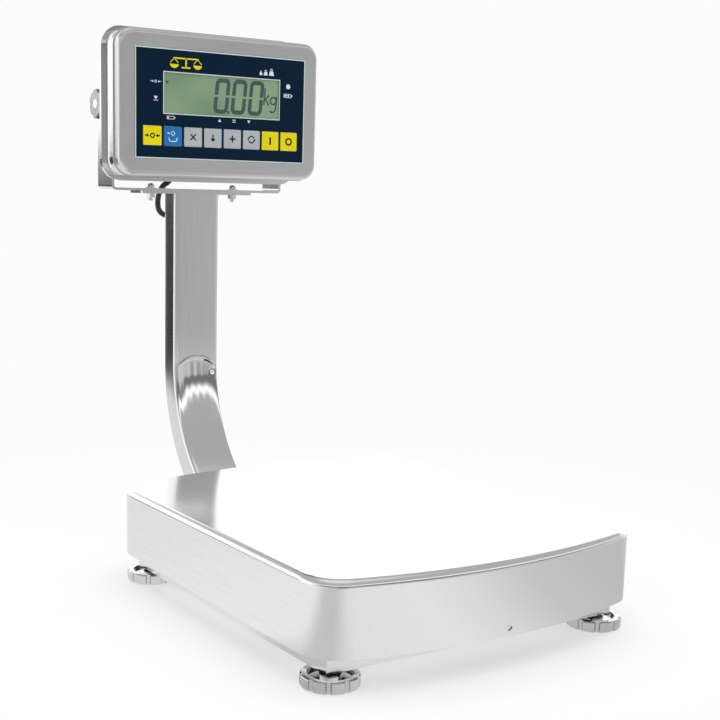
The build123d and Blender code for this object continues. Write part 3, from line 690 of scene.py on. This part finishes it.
def dish(across, past):
    """How far the inner wall is crushed in, across the tube and past the start of the bend."""
    u = min(abs(across) / (COLUMN_W / 2 - COLUMN_CORNER), 1.0)
    edge = (-3.0 + 9.0 * u ** 2.4) * MM
    into = smooth_step((past - edge) / DISH_STEP)
    out = 1 - smooth_step((past - DISH_FADE[0]) / (DISH_FADE[1] - DISH_FADE[0]))
    ridge = RIDGE_H * math.exp(-((past - edge + 0.6 * MM) / (1.0 * MM)) ** 2) * (1 - u ** 6)
    ripple = RIPPLE_H * math.sin(across / RIPPLE_WAVE) * into * out
    right = (across - DENT_PLACE[0]) / DENT_SIZE[0]
    down = (past - DENT_PLACE[1]) / DENT_SIZE[1]
    dent = DENT_DEPTH * math.exp(-right * right - down * down)
    return DISH_DEPTH * into * out * (1 - u ** 3.2) - ridge + ripple * (1 - u ** 4) + dent


def make_column():
    """The bent tube, with its inner wall crushed at the start of the bend."""
    verts, faces = [], []
    stations = column_stations()
    rings = []
    for inset in (0.0, COLUMN_WALL):
        w, d = COLUMN_W - 2 * inset, COLUMN_D - 2 * inset
        r = COLUMN_CORNER - inset
        shape = section(w, d, r, FRONT_POINTS)
        ring_set = []
        for point, along, past in stations:
            back = Vector((0, -along.z, along.y))
            ids = []
            for across, depth in shape:
                is_front = depth < -d / 2 + 1e-6
                push = dish(across, past) if is_front else 0.0
                place = point + Vector((across, 0, 0)) + back * (depth + push)
                ids.append(len(verts))
                verts.append(place)
            ring_set.append(ids)
        rings.append(ring_set)
    count = len(rings[0][0])
    for outer in (True, False):
        ring_set = rings[0] if outer else rings[1]
        for a, b in zip(ring_set, ring_set[1:]):
            for i in range(count):
                j = (i + 1) % count
                quad = (a[i], a[j], b[j], b[i])
                faces.append(quad if not outer else quad[::-1])
    for end in (0, -1):
        a, b = rings[0][end], rings[1][end]
        for i in range(count):
            j = (i + 1) % count
            quad = (a[i], a[j], b[j], b[i])
            faces.append(quad if end == 0 else quad[::-1])
    piece = mesh_piece("column_tube", verts, faces, materials["column"], smooth=True)
    piece.data.set_sharp_from_angle(angle=math.radians(50))
    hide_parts("column")
    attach(piece, "base")


# ---- load cell ----

def make_load_cell():
    """The load cell's bar, a copy of the solid, which is hidden."""
    solid = nodes["load_cell"]
    mesh = solid.data.copy()
    mesh.transform(solid.matrix_world)
    piece = bpy.data.objects.new("load_cell_bar", mesh)
    bpy.context.scene.collection.objects.link(piece)
    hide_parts("load_cell")
    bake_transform(piece)


# ---- cable ----

LEAD_DIAMETER = 5.5 * MM
# From the gland's mouth down, round and into the column's grommet.
lead_route = [
    (-0.0120, 0.2555, 0.3490),
    (-0.0125, 0.2555, 0.3415),
    (-0.0215, 0.2565, 0.3370),
    (-0.0265, 0.2570, 0.3235),
    (-0.0245, 0.2570, 0.3095),
    (-0.0080, 0.2580, 0.3060),
    (-0.0080, 0.2428, 0.3060),
]


def make_lead():
    """The exposed cable."""
    curve = bpy.data.curves.new("indicator_cable", "CURVE")
    curve.dimensions = "3D"
    spline = curve.splines.new("NURBS")
    spline.points.add(len(lead_route) - 1)
    for point, place in zip(spline.points, lead_route):
        point.co = (*place, 1.0)
    spline.order_u = 3
    spline.use_endpoint_u = True
    spline.resolution_u = 12
    curve.bevel_depth = LEAD_DIAMETER / 2
    curve.bevel_resolution = 6
    curve.use_fill_caps = True
    drawn = bpy.data.objects.new("indicator_cable_curve", curve)
    bpy.context.scene.collection.objects.link(drawn)
    mesh = bpy.data.meshes.new_from_object(drawn)
    bpy.data.objects.remove(drawn)
    mesh.name = "indicator_cable"
    mesh.materials.clear()
    mesh.materials.append(materials["jacket"])
    mesh.shade_smooth()
    piece = bpy.data.objects.new("indicator_cable", mesh)
    bpy.context.scene.collection.objects.link(piece)
    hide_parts("indicator_lead")
    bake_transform(piece)


# ---- studio ----

def heading_share(n, vector):
    """Heading of a vector seen from above, and its height.

    The heading runs from 0 to 1, with 0.5 to the back (+Y) and 0.75 to the right.
    """
    split = n.add("ShaderNodeSeparateXYZ")
    n.link(vector, split.inputs[0])
    angle = n.add("ShaderNodeMath", operation="ARCTAN2")
    n.link(split.outputs["X"], angle.inputs[0])
    n.link(split.outputs["Y"], angle.inputs[1])
    share = n.add("ShaderNodeMapRange")
    share.inputs["From Min"].default_value = -math.pi
    share.inputs["From Max"].default_value = math.pi
    n.link(angle.outputs[0], share.inputs["Value"])
    return share.outputs[0], split.outputs["Z"]


ROOM_STRENGTH = 1.5
# (heading, tone) of the room's walls: 0 and 1 are the front, 0.25 the left, 0.5 the back, 0.75 the right.
WALL_TONES = [(0.0, 0.34), (0.10, 0.28), (0.20, 0.37), (0.30, 0.85), (0.40, 0.95), (0.69, 0.95),
              (0.76, 0.53), (0.86, 0.44), (0.90, 0.48), (0.922, 0.34), (0.935, 0.27), (1.0, 0.34)]
FLOOR_TONES = [(0.0, 0.96), (0.05, 0.92), (0.095, 0.66), (0.13, 0.68), (0.165, 1.0), (0.24, 0.98),
               (0.36, 0.92), (0.45, 0.88), (0.52, 0.88), (0.7, 0.9), (0.86, 0.60),
               (0.93, 0.68), (0.97, 0.86), (1.0, 0.96)]
# Patches on those walls: (share, cover) along the headings and (height, cover) upwards, and their tone.
DOOR_SHARE = [(0.370, 0.0), (0.385, 1.0), (0.447, 1.0), (0.460, 0.0)]
DOOR_HEIGHT = [(0.012, 1.0), (0.030, 0.0)]
DOOR_TONE = 0.035
FRONT_SHARE = [(0.15, 1.0), (0.25, 0.0), (0.78, 0.0), (0.86, 1.0)]
SHELF_HEIGHT = [(0.08, 0.0), (0.13, 1.0), (0.25, 1.0), (0.30, 0.0)]
SHELF_TONE = 0.13
LAMP_HEIGHT = [(0.31, 0.0), (0.35, 1.0), (0.42, 1.0), (0.47, 0.0)]
LAMP_TONE = 0.95
ROOF_COVER = [(0.0, 0.0), (0.43, 0.0), (0.50, 1.0)]
ROOF_TONES = [(0.50, 0.34), (0.85, 0.34), (0.95, 0.6)]
SEEN_WHITE = (0.97, 0.97, 0.97, 1.0)
FLOOR_HALF = 12.0
TABLE_EDGE = (1.0, 1.3)    # metres from the middle, where the table top gives way to the room
CONTACT_FADE = (0.20, 0.60)   # metres, over which the shaded floor fades into plain white
CONTACT_GLOW = 0.55        # share of plain white in the floor next to the scale


def patch(n, colour, across, up, tone):
    """Paint a patch of even tone where both the across and the up ramps are 1."""
    both = n.add("ShaderNodeMath", operation="MULTIPLY")
    n.link(across, both.inputs[0])
    n.link(up, both.inputs[1])
    mix = n.add("ShaderNodeMixRGB")
    n.link(both.outputs[0], mix.inputs["Fac"])
    n.link(colour, mix.inputs["Color1"])
    mix.inputs["Color2"].default_value = (tone, tone, tone, 1.0)
    return mix.outputs[0]


def make_world():
    """White to the camera. Reflections see a room.

    It has white walls, a grey front with a dark shelf and a lit strip, a dark low doorway and a grey
    ceiling.
    """
    world = bpy.data.worlds.new("studio")
    n = Nodes(world)
    place = n.add("ShaderNodeTexCoord")
    share, height = heading_share(n, place.outputs["Generated"])
    walls = n.ramp(share, WALL_TONES)
    walls = patch(n, walls, n.ramp(share, DOOR_SHARE), n.ramp(height, DOOR_HEIGHT), DOOR_TONE)
    front = n.ramp(share, FRONT_SHARE)
    walls = patch(n, walls, front, n.ramp(height, SHELF_HEIGHT), SHELF_TONE)
    walls = patch(n, walls, front, n.ramp(height, LAMP_HEIGHT), LAMP_TONE)
    high = n.ramp(height, ROOF_COVER)
    roof = n.ramp(height, ROOF_TONES)
    mix = n.add("ShaderNodeMixRGB")
    n.link(high, mix.inputs["Fac"])
    n.link(walls, mix.inputs["Color1"])
    n.link(roof, mix.inputs["Color2"])
    room = n.add("ShaderNodeBackground")
    room.inputs["Strength"].default_value = ROOM_STRENGTH
    n.link(mix.outputs[0], room.inputs["Color"])
    plain = n.add("ShaderNodeBackground")
    plain.inputs["Color"].default_value = SEEN_WHITE
    rays = n.add("ShaderNodeLightPath")
    pick = n.add("ShaderNodeMixShader")
    n.link(rays.outputs["Is Camera Ray"], pick.inputs["Fac"])
    n.link(room.outputs[0], pick.inputs[1])
    n.link(plain.outputs[0], pick.inputs[2])
    out = n.add("ShaderNodeOutputWorld")
    n.link(pick.outputs[0], out.inputs["Surface"])
    bpy.context.scene.world = world


def make_floor():
    """White floor with soft contact shade. Reflections see a round table top with tones by direction."""
    verts = [(x * FLOOR_HALF, y * FLOOR_HALF, 0) for x, y in ((-1, -1), (1, -1), (1, 1), (-1, 1))]
    material, n = new_material("floor")
    place = n.add("ShaderNodeTexCoord")
    length = n.add("ShaderNodeVectorMath", operation="LENGTH")
    n.link(place.outputs["Object"], length.inputs[0])
    distance = length.outputs["Value"]
    diffuse = n.add("ShaderNodeBsdfDiffuse")
    diffuse.inputs["Color"].default_value = (0.92, 0.92, 0.92, 1.0)
    glow = n.add("ShaderNodeEmission")
    glow.inputs["Color"].default_value = SEEN_WHITE
    seen = n.add("ShaderNodeMixShader")
    n.link(n.ramp(distance, [(CONTACT_FADE[0], CONTACT_GLOW), (CONTACT_FADE[1], 1.0)]),
           seen.inputs["Fac"])
    n.link(diffuse.outputs[0], seen.inputs[1])
    n.link(glow.outputs[0], seen.inputs[2])
    share, _ = heading_share(n, place.outputs["Object"])
    table = n.add("ShaderNodeEmission")
    n.link(n.ramp(share, FLOOR_TONES), table.inputs["Color"])
    clear = n.add("ShaderNodeBsdfTransparent")
    halved = n.add("ShaderNodeMath", operation="MULTIPLY")
    n.link(distance, halved.inputs[0])
    halved.inputs[1].default_value = 0.5
    mirrored = n.add("ShaderNodeMixShader")
    edge = [(TABLE_EDGE[0] / 2, 0.0), (TABLE_EDGE[1] / 2, 1.0)]
    n.link(n.ramp(halved.outputs[0], edge), mirrored.inputs["Fac"])
    n.link(table.outputs[0], mirrored.inputs[1])
    n.link(clear.outputs[0], mirrored.inputs[2])
    rays = n.add("ShaderNodeLightPath")
    pick = n.add("ShaderNodeMixShader")
    n.link(rays.outputs["Is Camera Ray"], pick.inputs["Fac"])
    n.link(mirrored.outputs[0], pick.inputs[1])
    n.link(seen.outputs[0], pick.inputs[2])
    n.surface(pick.outputs[0])
    floor = mesh_piece("floor", verts, [(0, 1, 2, 3)], material)


def area_light(name, place, aim, size, power):
    data = bpy.data.lights.new(name, "AREA")
    data.shape = "RECTANGLE"
    data.size, data.size_y = size
    data.energy = power
    light = bpy.data.objects.new(name, data)
    light.location = place
    light.rotation_mode = "QUATERNION"
    light.visible_glossy = False
    light.rotation_quaternion = (Vector(aim) - Vector(place)).to_track_quat("-Z", "Y")
    bpy.context.scene.collection.objects.link(light)


def make_lights():
    area_light("top_box", (0.0, 0.2, 1.9), (0, 0, 0.1), (2.4, 2.4), 22)
    area_light("left_box", (-1.7, -0.9, 1.1), (0, 0, 0.2), (1.0, 1.4), 10)
    area_light("right_box", (1.8, -0.6, 1.0), (0, 0, 0.2), (0.9, 1.3), 6)


make_camera()
finish_nodes()
make_column()
make_load_cell()
make_lead()
print_panel()
make_display()
print_keys()
make_world()
make_floor()
make_lights()
bpy.context.scene.view_settings.view_transform = "Standard"
